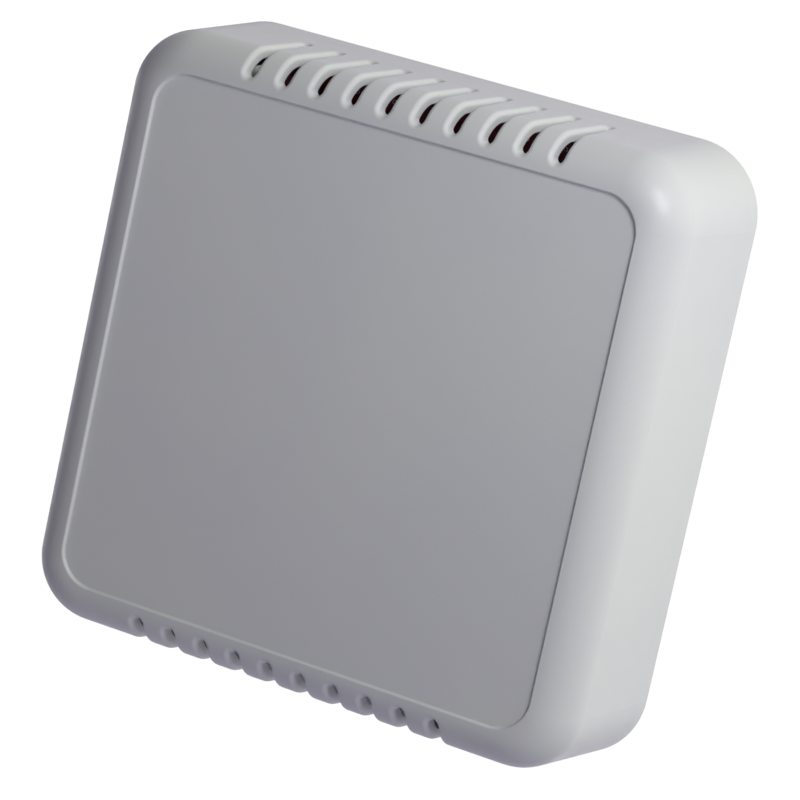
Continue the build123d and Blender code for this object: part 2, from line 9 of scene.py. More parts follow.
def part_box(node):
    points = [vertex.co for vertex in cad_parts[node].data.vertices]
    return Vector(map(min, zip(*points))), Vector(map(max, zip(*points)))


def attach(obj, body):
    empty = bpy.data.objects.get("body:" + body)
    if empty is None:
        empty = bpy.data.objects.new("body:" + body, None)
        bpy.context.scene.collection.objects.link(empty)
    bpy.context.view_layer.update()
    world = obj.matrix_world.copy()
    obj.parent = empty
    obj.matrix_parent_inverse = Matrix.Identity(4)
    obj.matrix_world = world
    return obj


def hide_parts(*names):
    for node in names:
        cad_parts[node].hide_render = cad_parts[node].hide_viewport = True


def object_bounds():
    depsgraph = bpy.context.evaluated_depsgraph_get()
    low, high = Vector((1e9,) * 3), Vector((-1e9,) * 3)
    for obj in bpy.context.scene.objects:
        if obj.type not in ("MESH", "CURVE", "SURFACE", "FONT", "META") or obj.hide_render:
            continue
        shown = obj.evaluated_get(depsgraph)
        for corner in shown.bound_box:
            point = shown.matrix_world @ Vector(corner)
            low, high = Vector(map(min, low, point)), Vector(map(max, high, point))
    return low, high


# A compact wireless access point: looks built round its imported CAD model.
# Blender works in metres in the part's frame. The small pieces are drawn in millimetres in the
# case's own axes, like the CAD: x right, y up, z out of the wall. at() turns one into the other.
MM = 0.001
SAME_PLACE = MM / 1000      # vertices nearer than this are one
SHARP = 0.001               # how far a sharp box's corners are cut, in millimetres
SMOOTH_BELOW = math.radians(35)
ROUND_ABOVE = math.radians(50)

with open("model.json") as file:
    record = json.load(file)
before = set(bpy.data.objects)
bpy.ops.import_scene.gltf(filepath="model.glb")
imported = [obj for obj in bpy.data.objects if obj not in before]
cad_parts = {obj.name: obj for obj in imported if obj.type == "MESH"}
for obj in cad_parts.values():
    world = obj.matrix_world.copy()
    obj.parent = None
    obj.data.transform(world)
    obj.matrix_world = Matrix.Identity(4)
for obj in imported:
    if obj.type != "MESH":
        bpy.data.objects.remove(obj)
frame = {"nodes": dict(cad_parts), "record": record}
cad_box = [list(corner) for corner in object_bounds()]
nodes = frame["nodes"]


# ------------------------ places

def at(x, y, z):
    """A point in the case's own axes, in millimetres, as a point of the part's frame."""
    return Vector((x, -z, y)) * MM


def case_box(low, high):
    """A box of the part's frame as x0, x1, y0, y1, z0, z1 in the case's own axes."""
    return (low.x / MM, high.x / MM, low.z / MM, high.z / MM, -high.y / MM, -low.y / MM)


def node_box(node):
    """The box of a CAD node at rest."""
    return case_box(*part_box(node))


def solids(node):
    """The box of each separate solid in a CAD node, from left to right."""
    bm = bmesh.new()
    bm.from_mesh(nodes[node].data)
    bmesh.ops.remove_doubles(bm, verts=bm.verts, dist=SAME_PLACE)
    boxes, seen = [], set()
    for start in bm.verts:
        if start in seen:
            continue
        seen.add(start)
        waiting, places = [start], []
        while waiting:
            vert = waiting.pop()
            places.append(vert.co.copy())
            for edge in vert.link_edges:
                other = edge.other_vert(vert)
                if other not in seen:
                    seen.add(other)
                    waiting.append(other)
        low = Vector([min(place[i] for place in places) for i in range(3)])
        high = Vector([max(place[i] for place in places) for i in range(3)])
        boxes.append(case_box(low, high))
    bm.free()
    return sorted(boxes)


def middle(box):
    """The x and y of a box's middle."""
    return (box[0] + box[1]) / 2, (box[2] + box[3]) / 2


# ------------------------ mesh code

class Piece:
    """A mesh under construction, drawn in the case's own axes in millimetres."""

    def __init__(self):
        self.verts = []
        self.faces = []

    def skin(self, rings, ends=True):
        """Join rings of equally many points, with a face over each end unless the last meets the first."""
        first, count = len(self.verts), len(rings[0])
        for ring in rings:
            self.verts += [at(*point) for point in ring]
        spans = len(rings) - 1 if ends else len(rings)
        for r in range(spans):
            a, b = first + r * count, first + (r + 1) % len(rings) * count
            for i in range(count):
                j = (i + 1) % count
                self.faces.append((a + i, a + j, b + j, b + i))
        if ends:
            last = first + (len(rings) - 1) * count
            self.faces.append(tuple(range(first + count - 1, first - 1, -1)))
            self.faces.append(tuple(range(last, last + count)))

    def slab(self, x0, x1, y0, y1, z0, z1, soft=0.0):
        """A box whose upright and top edges are cut back by soft."""
        def ring(inset, z):
            a0, a1, b0, b1 = x0 + inset, x1 - inset, y0 + inset, y1 - inset
            c = soft or SHARP
            return [(a0 + c, b0, z), (a1 - c, b0, z), (a1, b0 + c, z), (a1, b1 - c, z),
                    (a1 - c, b1, z), (a0 + c, b1, z), (a0, b1 - c, z), (a0, b0 + c, z)]
        rings = [ring(0, z0), ring(0, z1 - soft)]
        if soft:
            rings.append(ring(soft * 0.7, z1))
        self.skin(rings)

    def turn(self, x, y, profile, segments=24, start=0.0, sweep=360.0):
        """Revolve a profile of (radius, z) about an axis square to the wall.

        A sweep of less than 360 degrees needs a closed profile.
        """
        whole = sweep == 360.0
        steps = segments if whole else segments + 1
        columns = []
        for i in range(steps):
            angle = math.radians(start + sweep * i / segments)
            columns.append([(x + r * math.cos(angle), y + r * math.sin(angle), z) for r, z in profile])
        if whole:
            self.skin([[column[k] for column in columns] for k in range(len(profile))])
        else:
            self.skin(columns)

    def hoop(self, x, y, profile, segments=24):
        """Revolve a closed profile of (radius, z) all the way round, as a ring with a hole."""
        columns = []
        for i in range(segments):
            angle = 2 * math.pi * i / segments
            columns.append([(x + r * math.cos(angle), y + r * math.sin(angle), z) for r, z in profile])
        self.skin(columns, ends=False)

    def strap(self, path, side, width, thickness):
        """Sweep a flat section along a path. The section's width lies along side, and corners are mitred."""
        points = [Vector(point) for point in path]
        side = Vector(side).normalized()
        rings = []
        for i, point in enumerate(points):
            before = (point - points[i - 1]).normalized() if i else None
            after = (points[i + 1] - point).normalized() if i + 1 < len(points) else None
            along = ((before or after) + (after or before)).normalized()
            mitre = 1 / max(0.5, along.dot(after or before))
            out = side.cross(along).normalized() * thickness / 2 * mitre
            half = side * width / 2
            rings.append([tuple(point + half + out), tuple(point + half - out),
                          tuple(point - half - out), tuple(point - half + out)])
        self.skin(rings)

    def wire(self, path, radius, sides=8):
        """Sweep a round section along a path."""
        points = [Vector(point) for point in path]
        rings = []
        side = None
        for i, point in enumerate(points):
            along = (points[min(i + 1, len(points) - 1)] - points[max(i - 1, 0)]).normalized()
            if side is None:
                side = along.orthogonal()
            side = (side - along * side.dot(along)).normalized()
            up = along.cross(side)
            angles = [2 * math.pi * k / sides for k in range(sides)]
            rings.append([tuple(point + (side * math.cos(a) + up * math.sin(a)) * radius) for a in angles])
        self.skin(rings)

    def place(self, name, shader, slot, body="base", bevel=0.0, stands_for=()):
        """Make the object, give it its material and let it ride on a CAD body."""
        mesh = bpy.data.meshes.new(name)
        mesh.from_pydata(self.verts, [], self.faces)
        bm = bmesh.new()
        bm.from_mesh(mesh)
        bmesh.ops.recalc_face_normals(bm, faces=bm.faces)
        bm.to_mesh(mesh)
        bm.free()
        mesh.shade_smooth()
        mesh.set_sharp_from_angle(angle=SMOOTH_BELOW)
        mesh.materials.append(shader.material)
        made = bpy.data.objects.new(name, mesh)
        bpy.context.scene.collection.objects.link(made)
        if bevel:
            round_edges(made, bevel)
        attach(made, body)
        if stands_for:
            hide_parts(*stands_for)


def round_edges(made, width, segments=2):
    """Round the sharp edges of an object, in millimetres."""
    weld = made.modifiers.new("weld", "WELD")
    weld.merge_threshold = SAME_PLACE
    bevel = made.modifiers.new("round", "BEVEL")
    bevel.width = width * MM
    bevel.segments = segments
    bevel.limit_method = "ANGLE"
    bevel.angle_limit = ROUND_ABOVE
    bevel.harden_normals = True


# ------------------------ material tools

class Shader:
    """A material's node tree, with one short call for each kind of node."""

    def __init__(self, name):
        self.material = bpy.data.materials.new(name)
        self.material.use_nodes = True
        self.tree = self.material.node_tree
        self.tree.nodes.clear()
        self.bsdf = self.tree.nodes.new("ShaderNodeBsdfPrincipled")
        output = self.tree.nodes.new("ShaderNodeOutputMaterial")
        self.link(self.bsdf.outputs["BSDF"], output.inputs["Surface"])
        texture = self.tree.nodes.new("ShaderNodeTexCoord")
        self.coords = texture.outputs["Object"]
        self.normal = texture.outputs["Normal"]

    def link(self, source, target):
        """Join an output to an input."""
        self.tree.links.new(source, target)

    def put(self, value, target):
        """Set a socket from a number, a colour or another node's output."""
        if isinstance(value, bpy.types.NodeSocket):
            self.link(value, target)
        elif hasattr(value, "__len__") and len(value) == 3 and len(target.default_value) == 4:
            target.default_value = (*value, 1.0)
        else:
            target.default_value = value

    def set(self, **values):
        """Set the shader's own sockets, such as base_color or roughness."""
        upper = {"Ior": "IOR", "Specular Ior Level": "Specular IOR Level"}
        for name, value in values.items():
            socket = " ".join(word.capitalize() for word in name.split("_"))
            self.put(value, self.bsdf.inputs[upper.get(socket, socket)])

    def stretch(self, scale):
        """The object's coordinates, scaled along each axis."""
        node = self.tree.nodes.new("ShaderNodeMapping")
        self.link(self.coords, node.inputs["Vector"])
        node.inputs["Scale"].default_value = scale
        return node.outputs["Vector"]

    def noise(self, scale, detail=3.0, roughness=0.5, vector=None):
        """Soft clouds, about scale of them to the metre."""
        node = self.tree.nodes.new("ShaderNodeTexNoise")
        self.link(vector or self.coords, node.inputs["Vector"])
        node.inputs["Scale"].default_value = scale
        node.inputs["Detail"].default_value = detail
        node.inputs["Roughness"].default_value = roughness
        return node.outputs["Fac"]

    def cells(self, scale):
        """The distance from scattered points, about scale of them to the metre."""
        node = self.tree.nodes.new("ShaderNodeTexVoronoi")
        self.link(self.coords, node.inputs["Vector"])
        node.inputs["Scale"].default_value = scale
        return node.outputs["Distance"]

    def waves(self, scale, axis, distortion=0.0):
        """Even bands across an axis."""
        node = self.tree.nodes.new("ShaderNodeTexWave")
        self.link(self.coords, node.inputs["Vector"])
        node.bands_direction = axis
        node.inputs["Scale"].default_value = scale
        node.inputs["Distortion"].default_value = distortion
        return node.outputs["Fac"]

    def ramp(self, value, stops):
        """Map a value to colours: stops are (place, colour)."""
        node = self.tree.nodes.new("ShaderNodeValToRGB")
        node.color_ramp.interpolation = "EASE"
        self.link(value, node.inputs["Fac"])
        elements = node.color_ramp.elements
        while len(elements) < len(stops):
            elements.new(0.5)
        for element, (place, colour) in zip(elements, stops):
            element.position = place
            element.color = (*colour, 1.0)
        return node.outputs["Color"]

    def scale(self, value, low, high, from_low=0.3, from_high=0.7):
        """Map a value from one range to another, and hold it inside."""
        node = self.tree.nodes.new("ShaderNodeMapRange")
        self.link(value, node.inputs["Value"])
        node.inputs["From Min"].default_value = from_low
        node.inputs["From Max"].default_value = from_high
        node.inputs["To Min"].default_value = low
        node.inputs["To Max"].default_value = high
        return node.outputs["Result"]

    def math(self, operation, a, b=0.0):
        """Work out a value from one or two others."""
        node = self.tree.nodes.new("ShaderNodeMath")
        node.operation = operation
        self.put(a, node.inputs[0])
        self.put(b, node.inputs[1])
        return node.outputs["Value"]

    def mix(self, factor, a, b):
        """Mix two colours."""
        node = self.tree.nodes.new("ShaderNodeMix")
        node.data_type = "RGBA"
        sockets = [socket for socket in node.inputs if socket.type == "RGBA"]
        self.put(factor, node.inputs["Factor"])
        self.put(a, sockets[0])
        self.put(b, sockets[1])
        return next(socket for socket in node.outputs if socket.type == "RGBA")

    def part(self, vector, axis):
        """One coordinate of a vector."""
        node = self.tree.nodes.new("ShaderNodeSeparateXYZ")
        self.link(vector, node.inputs["Vector"])
        return node.outputs[axis]

    def bump(self, height, distance, strength=1.0):
        """Raise the surface by height, where distance is in metres."""
        node = self.tree.nodes.new("ShaderNodeBump")
        self.link(height, node.inputs["Height"])
        node.inputs["Distance"].default_value = distance
        node.inputs["Strength"].default_value = strength
        socket = self.bsdf.inputs["Normal"]
        if socket.is_linked:
            self.link(socket.links[0].from_socket, node.inputs["Normal"])
        self.link(node.outputs["Normal"], socket)


def grained(name, dark, light, roughness, cloud, grain, depth=0.000008, streak=None, metallic=0.0):
    """A material with clouded colour, uneven gloss and a fine grain.

    Its colour runs from dark to light and its gloss over the two values of roughness. cloud and grain
    say how fine each is, depth is the grain's height in metres, and streak stretches the grain.
    """
    s = Shader(name)
    vector = s.stretch(streak) if streak else None
    s.set(base_color=s.ramp(s.noise(cloud, 4.0), [(0.3, dark), (0.7, light)]), metallic=metallic)
    s.set(roughness=s.scale(s.noise(grain / 4, 3.0, vector=vector), *roughness))
    s.bump(s.noise(grain, 2.0, vector=vector), depth, 0.6)
    return s


# ------------------------ materials of the case

CATCH_X, CATCH_HALF = 0.0215, 0.0035        # the snap catches leave faint sinks on the outside
CATCH_Y = (-0.0072, -0.0038)
SINK_FADE = (0.0016, 0.0012)                # how softly a sink ends along x and along y


def near(s, value, centre, half, fade):
    """1 where a value is within half of centre, falling to 0 over fade."""
    away = s.math("ABSOLUTE", s.math("SUBTRACT", value, centre))
    return s.scale(away, 1.0, 0.0, half - fade / 2, half + fade / 2)


def case_plastic():
    """Satin ABS, off-white, faintly clouded, with a spark-eroded grain and sinks over the catches."""
    s = Shader("case_plastic")
    cloud = s.ramp(s.noise(30.0, 3.0, 0.5), [(0.35, (0.776, 0.780, 0.798)), (0.65, (0.800, 0.804, 0.804))])
    specks = s.scale(s.noise(1400.0, 1.0), 0.0, 0.05, 0.66, 0.74)
    s.set(base_color=s.mix(specks, cloud, (0.62, 0.62, 0.62)))
    s.set(roughness=s.scale(s.noise(420.0, 4.0), 0.34, 0.44), specular_ior_level=0.5)
    x, y = s.part(s.coords, "X"), s.part(s.coords, "Y")
    catches = near(s, s.math("ABSOLUTE", x), CATCH_X, CATCH_HALF, SINK_FADE[0])
    depth_band = near(s, y, sum(CATCH_Y) / 2, (CATCH_Y[1] - CATCH_Y[0]) / 2, SINK_FADE[1])
    upright = s.scale(s.math("ABSOLUTE", s.part(s.normal, "Z")), 0.0, 1.0, 0.9, 0.97)
    sink = s.math("MULTIPLY", s.math("MULTIPLY", catches, depth_band), upright)
    s.bump(s.math("SUBTRACT", 1.0, sink), 0.00006, 0.7)
    s.bump(s.noise(90.0, 2.0), 0.00002, 0.35)
    s.bump(s.noise(5200.0, 2.0), 0.00001, 0.5)
    return s


def grommet_rubber():
    s = grained("grommet_rubber", (0.026, 0.026, 0.028), (0.042, 0.042, 0.043), (0.62, 0.82),
                cloud=300.0, grain=3200.0, depth=0.00002)
    s.set(sheen_weight=0.15)
    return s


# ------------------------ materials of the board

MASK = (0.33, 0.025, 0.045)
LAMINATE = (0.36, 0.30, 0.16)


def circuit_board():
    """Dark red solder mask over a glass weave, with the bare laminate on the edges."""
    s = Shader("circuit_board")
    mask = s.ramp(s.noise(220.0, 3.0), [(0.3, tuple(0.86 * c for c in MASK)), (0.7, MASK)])
    layers = s.ramp(s.waves(2000.0, "Y", 1.0), [(0.35, LAMINATE), (0.75, tuple(0.6 * c for c in LAMINATE))])
    faces = s.scale(s.math("ABSOLUTE", s.part(s.normal, "Y")), 0.0, 1.0, 0.6, 0.8)
    s.set(base_color=s.mix(faces, layers, mask), coat_weight=0.5, coat_roughness=0.2)
    s.set(roughness=s.scale(s.noise(600.0), 0.32, 0.46))
    weave = s.math("MULTIPLY", s.waves(1100.0, "X"), s.waves(1100.0, "Z"))
    s.bump(weave, 0.000012, 0.6)
    return s


def masked_copper():
    s = grained("masked_copper", (0.42, 0.042, 0.055), (0.50, 0.055, 0.066), (0.26, 0.38),
                cloud=260.0, grain=2400.0)
    s.set(coat_weight=0.6, coat_roughness=0.15)
    return s


def board_marking():
    return grained("board_marking", (0.66, 0.66, 0.63), (0.80, 0.80, 0.77), (0.55, 0.75),
                   cloud=900.0, grain=5200.0)


def moulded_epoxy():
    s = grained("moulded_epoxy", (0.026, 0.026, 0.028), (0.040, 0.040, 0.043), (0.50, 0.68),
                cloud=500.0, grain=3800.0, depth=0.00002)
    fleck = s.scale(s.cells(3600.0), 1.0, 0.0, 0.0, 0.12)
    base = s.bsdf.inputs["Base Color"].links[0].from_socket
    s.set(base_color=s.mix(fleck, base, (0.11, 0.11, 0.11)))
    return s


def resistor_body():
    return grained("resistor_body", (0.022, 0.022, 0.026), (0.048, 0.048, 0.052), (0.16, 0.30),
                   cloud=1400.0, grain=5200.0)


def capacitor_ceramic():
    s = grained("capacitor_ceramic", (0.36, 0.24, 0.13), (0.46, 0.32, 0.19), (0.42, 0.58),
                cloud=1600.0, grain=5200.0)
    s.set(specular_ior_level=0.4)
    return s


def fuse_ceramic():
    return grained("fuse_ceramic", (0.72, 0.70, 0.63), (0.84, 0.82, 0.76), (0.30, 0.46),
                   cloud=700.0, grain=4200.0)


def led_resin():
    s = grained("led_resin", (0.80, 0.78, 0.58), (0.88, 0.87, 0.70), (0.10, 0.20),
                cloud=900.0, grain=4200.0)
    s.set(transmission_weight=0.35, ior=1.5)
    return s


# ------------------------ metals

def screw_steel():
    return grained("screw_steel", (0.50, 0.50, 0.52), (0.66, 0.66, 0.68), (0.24, 0.40),
                   cloud=900.0, grain=5000.0, metallic=1.0)


def tin_plate():
    return grained("tin_plate", (0.56, 0.56, 0.56), (0.72, 0.72, 0.71), (0.20, 0.38),
                   cloud=320.0, grain=2600.0, depth=0.00001, metallic=1.0)


def gold_contact():
    return grained("gold_contact", (0.78, 0.54, 0.20), (0.90, 0.68, 0.32), (0.16, 0.30),
                   cloud=900.0, grain=3600.0, streak=(1.0, 0.2, 1.0), metallic=1.0)


def heat_sink_aluminium():
    return grained("heat_sink_aluminium", (0.46, 0.47, 0.49), (0.60, 0.61, 0.63), (0.30, 0.48),
                   cloud=160.0, grain=3200.0, depth=0.000014, streak=(1.0, 1.0, 0.03), metallic=0.95)


def antenna_sheet():
    return grained("antenna_sheet", (0.62, 0.60, 0.52), (0.76, 0.74, 0.66), (0.22, 0.36),
                   cloud=240.0, grain=2800.0, depth=0.00001, streak=(0.05, 1.0, 1.0), metallic=1.0)


def capacitor_can():
    return grained("capacitor_can", (0.64, 0.64, 0.66), (0.78, 0.78, 0.80), (0.26, 0.42),
                   cloud=500.0, grain=4200.0, depth=0.00001, metallic=1.0)


def ferrite():
    s = grained("ferrite", (0.050, 0.050, 0.054), (0.088, 0.088, 0.092), (0.62, 0.80),
                cloud=700.0, grain=2400.0, depth=0.00004)
    s.bump(s.cells(1800.0), 0.00003, 0.5)
    return s


# ------------------------ plastics inside

def black_nylon():
    return grained("black_nylon", (0.018, 0.018, 0.020), (0.034, 0.034, 0.036), (0.38, 0.56),
                   cloud=420.0, grain=3000.0, depth=0.000014, streak=(0.3, 1.0, 1.0))


def light_pipe():
    s = grained("light_pipe", (0.70, 0.76, 0.58), (0.80, 0.84, 0.68), (0.06, 0.14),
                cloud=500.0, grain=2200.0)
    s.set(transmission_weight=0.7, ior=1.49)
    return s


def terminal_nylon():
    return grained("terminal_nylon", (0.035, 0.22, 0.10), (0.055, 0.30, 0.14), (0.34, 0.48),
                   cloud=260.0, grain=2600.0, depth=0.00001)


def white_nylon():
    s = grained("white_nylon", (0.74, 0.74, 0.71), (0.82, 0.82, 0.79), (0.42, 0.56),
                cloud=300.0, grain=2600.0)
    s.set(subsurface_weight=0.1, subsurface_scale=0.001)
    return s


def winding_tape():
    """Layers of yellow polyester tape, whose edges show as lines round the winding."""
    s = grained("winding_tape", (0.72, 0.50, 0.06), (0.84, 0.64, 0.13), (0.16, 0.30),
                cloud=300.0, grain=1800.0)
    s.bump(s.waves(420.0, "Y", 0.6), 0.00006, 0.7)
    s.set(coat_weight=0.6, coat_roughness=0.12)
    return s


def sleeve_film():
    """The shrunk film on a capacitor can."""
    s = grained("sleeve_film", (0.010, 0.014, 0.036), (0.018, 0.024, 0.055), (0.20, 0.34),
                cloud=260.0, grain=1600.0)
    s.set(coat_weight=0.4, coat_roughness=0.15)
    return s


def red_rubber():
    s = grained("red_rubber", (0.17, 0.018, 0.030), (0.23, 0.027, 0.040), (0.60, 0.80),
                cloud=300.0, grain=3200.0, depth=0.00002)
    s.set(sheen_weight=0.1)
    return s


def enamelled_wire():
    return grained("enamelled_wire", (0.42, 0.16, 0.05), (0.58, 0.24, 0.08), (0.18, 0.32),
                   cloud=1200.0, grain=3600.0, metallic=0.8)


def thermal_pad():
    s = grained("thermal_pad", (0.30, 0.44, 0.55), (0.38, 0.54, 0.66), (0.72, 0.90),
                cloud=260.0, grain=1800.0, depth=0.00003)
    s.bump(s.waves(900.0, "X"), 0.00002, 0.4)
    return s


# ------------------------ materials in use

looks = {}
for maker in (case_plastic, grommet_rubber, circuit_board, screw_steel, tin_plate, black_nylon, light_pipe,
              gold_contact, moulded_epoxy, terminal_nylon, ferrite, winding_tape, capacitor_can, fuse_ceramic,
              thermal_pad, heat_sink_aluminium, white_nylon, antenna_sheet, led_resin, resistor_body,
              capacitor_ceramic, masked_copper, board_marking, sleeve_film, red_rubber, enamelled_wire):
    looks[maker.__name__] = maker()

for row in frame["record"]["subparts"]:
    slots = nodes[row["node"]].data.materials
    slots.clear()
    slots.append(looks[row["material_slot"]].material)

BOARD = node_box("main_board")
BOARD_TOP, BOARD_LOW = BOARD[5], BOARD[4]
SCREWS = solids("board_screws")
POSTS = [(-23.4, 38.0), (26.0, 38.0), (-23.4, -38.0), (26.0, -38.0)]    # the back plate's slim posts
SHIELD = node_box("shield_frame")
MAGNETICS = node_box("lan_magnetics")
HEADER_PINS = solids("debug_header_pins")
LEDS = solids("status_leds")
BIG_CANS = solids("bulk_capacitors")
UPPER_ANTENNAS = {-1: node_box("antenna_upper_left"), 1: node_box("antenna_upper_right")}

FILM = 0.03                 # copper stands this far above the board
INK = 0.7 * FILM            # and printing this far
WAYS = 8                    # leads along each side of the magnetics, and contacts of the jack
LEAD_PITCH = 1.6            # of the magnetics


# ------------------------ the board's copper

def ring(piece, x, y, inner, outer, z0, z1):
    """A flat ring between two radii and two heights."""
    piece.hoop(x, y, [(inner, z0), (outer, z0), (outer, z1), (inner, z1)])


def route(piece, path, width):
    """A printed track along a path of (x, y)."""
    piece.strap([(x, y, BOARD_TOP + FILM / 2) for x, y in path], (0, 0, 1), FILM, width)


def spread(count, pitch):
    """Places along a row, evenly about its middle."""
    return [(i - (count - 1) / 2) * pitch for i in range(count)]


CABLE_NOTCH = (15.2, -11.8)         # |x| is less and y is less than these beside the jack
SIDE_NOTCH = (23.8, 6.7)            # |x| is more and |y| less than these at a wall screw
POST_CLEAR, SCREW_CLEAR = 2.6, 4.0
RIM_CLEAR = 0.6


def clear_of_holes(x, y):
    """Whether a small pad at a place is on the board and away from its notches, posts and screws."""
    on_board = abs(y) < BOARD[3] - RIM_CLEAR and abs(x) < BOARD[1] - RIM_CLEAR
    cable = abs(x) < CABLE_NOTCH[0] and y < CABLE_NOTCH[1]
    side = abs(x) > SIDE_NOTCH[0] and abs(y) < SIDE_NOTCH[1]
    post = min(math.dist((x, y), place) for place in POSTS) < POST_CLEAR
    screw = min(math.dist((x, y), middle(box)) for box in SCREWS) < SCREW_CLEAR
    return on_board and not (cable or side or post or screw)


def board_tracks():
    """Tracks under the mask: data pairs, antenna feeds, header and lamp lines, and wide supply copper."""
    p = Piece()
    thin, fine, wide = 0.25, 0.28, 0.35
    signal, feed_width = 0.3, 0.9
    to_shield = SHIELD[2] - 0.1
    for x, fan in zip(spread(WAYS, 1.02), spread(WAYS, 1.45)):
        route(p, [(x, 4.2), (x, 5.0), (fan, 6.3), (fan, to_shield)], fine)
    jog = 1.5
    for i, along in enumerate(spread(WAYS, LEAD_PITCH)):
        x = middle(MAGNETICS)[0] + along
        rise = 1.6 + 0.5 * i
        if x > -17.0:
            route(p, [(x, 0.6), (x, rise), (x + jog, rise + jog), (x + jog, to_shield)], thin)
    for i, box in enumerate(HEADER_PINS):
        x, y = middle(box)
        level = y + 2.2 + 0.8 * (len(HEADER_PINS) - i)
        route(p, [(x, y), (x, level), (x + 1.0, level + 1.0), (SHIELD[0] - 0.1, level + 1.0)], signal)
    for i, box in enumerate(LEDS):
        x, y = middle(box)
        level = y + 1.6 + 1.3 * i
        for side in (-1, 1):
            route(p, [(x + side * 1.1, y), (x + side * 1.1, level - 0.8), (x + side * 1.9, level),
                      (side * (30.0 - i), level), (side * 33.0, level - 3.0 + i)], signal)
    for side, sheet in UPPER_ANTENNAS.items():
        inner = sheet[1] if side < 0 else sheet[0]
        high, low = sheet[2] + 0.8, sheet[2] - 0.6
        route(p, [(inner, high), (inner - side * 1.5, high), (inner - side * 3.0, low),
                  (side * SHIELD[1], low)], feed_width)
        for k in range(3):
            y = -31.4 - 1.2 * k
            route(p, [(side * 15.6, y), (side * (29.0 - k), y), (side * (31.0 - k), y - 0.9),
                      (side * 35.6, y - 0.9)], wide)
    power = node_box("power_inductor")
    for box in BIG_CANS:
        x, y = middle(box)
        route(p, [(x, y + 2.2), (x, power[2] - 1.6)], 3.2)
    route(p, [(power[0] - 0.4, power[2] - 1.8), (24.2, power[2] - 1.8)], 2.2)
    route(p, [(-22.9, -18.6), (-22.9, -16.0)], 1.8)
    route(p, [(-24.8, -27.4), (-27.8, -27.4), (-27.8, -17.0)], 1.4)
    p.place("board_tracks", looks["masked_copper"], "circuit_board")


def board_pads():
    """Bare tinned copper: screw lands, stitching vias along the edges, test points and register marks."""
    p = Piece()
    top = BOARD_TOP + FILM
    both_faces = ((BOARD_TOP, top), (BOARD_LOW - FILM, BOARD_LOW))
    land, via = (1.5, 3.1), (0.16, 0.36)        # inner and outer radius
    for box in SCREWS:
        for z0, z1 in both_faces:
            ring(p, *middle(box), *land, z0, z1)
    inset, pitch = 1.1, 2.9
    places = []
    for k in range(-12, 13):
        for side in (-1, 1):
            places.append((k * pitch, side * (BOARD[3] - inset)))
            places.append((side * (BOARD[1] - inset), k * pitch))
    for k in range(-6, 7):
        places.append((k * pitch * 0.8, SHIELD[3] + 1.5))
    for x, y in places:
        if clear_of_holes(x, y):
            for z0, z1 in both_faces:
                ring(p, x, y, *via, z0, z1)

    def dot(x, y, radius, segments=18):
        p.turn(x, y, [(radius, BOARD_TOP), (radius, top)], segments)

    mark_x, mark_y = 34.6, 33.4
    for x, y in ((-mark_x, mark_y), (mark_x, mark_y), (mark_x, -mark_y), (-mark_x, -mark_y)):
        dot(x, y, 0.5, 20)
    for i in range(6):
        dot(22.6 + 2.0 * i, 11.4, 0.55)
        dot(-mark_x + 2.0 * i, 22.8, 0.45)
    p.place("board_pads", looks["tin_plate"], "tin_plate")


def board_inking():
    """Printed outlines round the parts, polarity bars and pin ticks, with no lettering."""
    p = Piece()
    line, gap = 0.16, 0.55
    top = BOARD_TOP + INK

    def bar(x0, x1, y0, y1):
        p.slab(x0, x1, y0, y1, BOARD_TOP, top)

    def outline(box):
        x0, x1, y0, y1 = box[0] - gap, box[1] + gap, box[2] - gap, box[3] + gap
        for y in (y0, y1):
            bar(x0, x1, y - line / 2, y + line / 2)
        for x in (x0, x1):
            bar(x - line / 2, x + line / 2, y0, y1)

    for name in ("shield_lid", "terminal_housing", "power_inductor", "debug_header", "reset_switch_base",
                 "lan_magnetics", "transformer_bobbin", "fuse"):
        outline(node_box(name))
    for name in ("power_chips", "rectifier_diodes"):
        for box in solids(name):
            outline(box)
            bar(box[0] - 1.0, box[0] - 0.75, box[3] - 0.7, box[3] + 0.2)
    for name in ("chip_resistors", "chip_capacitors", "status_leds"):
        for box in solids(name):
            for y in (box[2] - 0.25, box[3] + 0.25):
                bar(box[0] + 0.35, box[1] - 0.35, y - 0.06, y + 0.06)
    for box in BIG_CANS:
        x, y = middle(box)
        radius = (box[1] - box[0]) / 2 + 0.5
        ring(p, x, y, radius, radius + line, BOARD_TOP, top)
        bar(x - radius - 1.2, x - radius - 0.4, y - 0.1, y + 0.1)
    for sheet in UPPER_ANTENNAS.values():
        inset, level = 1.5, sheet[3] + 0.6
        for k in range(5):
            x = sheet[0] + inset + k * (sheet[1] - sheet[0] - 2 * inset) / 4
            bar(x - 0.5, x + 0.5, level, level + line)
    p.place("board_inking", looks["board_marking"], "circuit_board")


def solder_joints():
    """Solder cones below the board on the pins that come through it, and fillets beside the shield."""
    p = Piece()
    cone = [(radius, BOARD_LOW - drop)
            for radius, drop in ((1.0, 0.0), (0.95, 0.05), (0.6, 0.35), (0.44, 0.8), (0.36, 1.0))]
    for node in ("debug_header_pins", "transformer_pins", "terminal_pins"):
        for box in solids(node):
            x, y = middle(box)
            if node == "terminal_pins":         # a clamp plate, with its leg at the left end
                x = box[0] + 0.2
            p.turn(x, y, cone, 20)
    inset = 1.6
    for side in (-1, 1):
        x = side * SHIELD[1]
        for k in range(5):
            y = SHIELD[2] + inset + k * (SHIELD[3] - SHIELD[2] - 2 * inset) / 4
            fillet = [(x + side * 0.34, y, BOARD_TOP + 0.5), (x + side * 0.42, y, BOARD_TOP + 0.16),
                      (x + side * 0.85, y, BOARD_TOP + FILM)]
            p.strap(fillet, (0, 1, 0), 1.5, 0.1)
    p.place("solder_joints", looks["tin_plate"], "tin_plate")


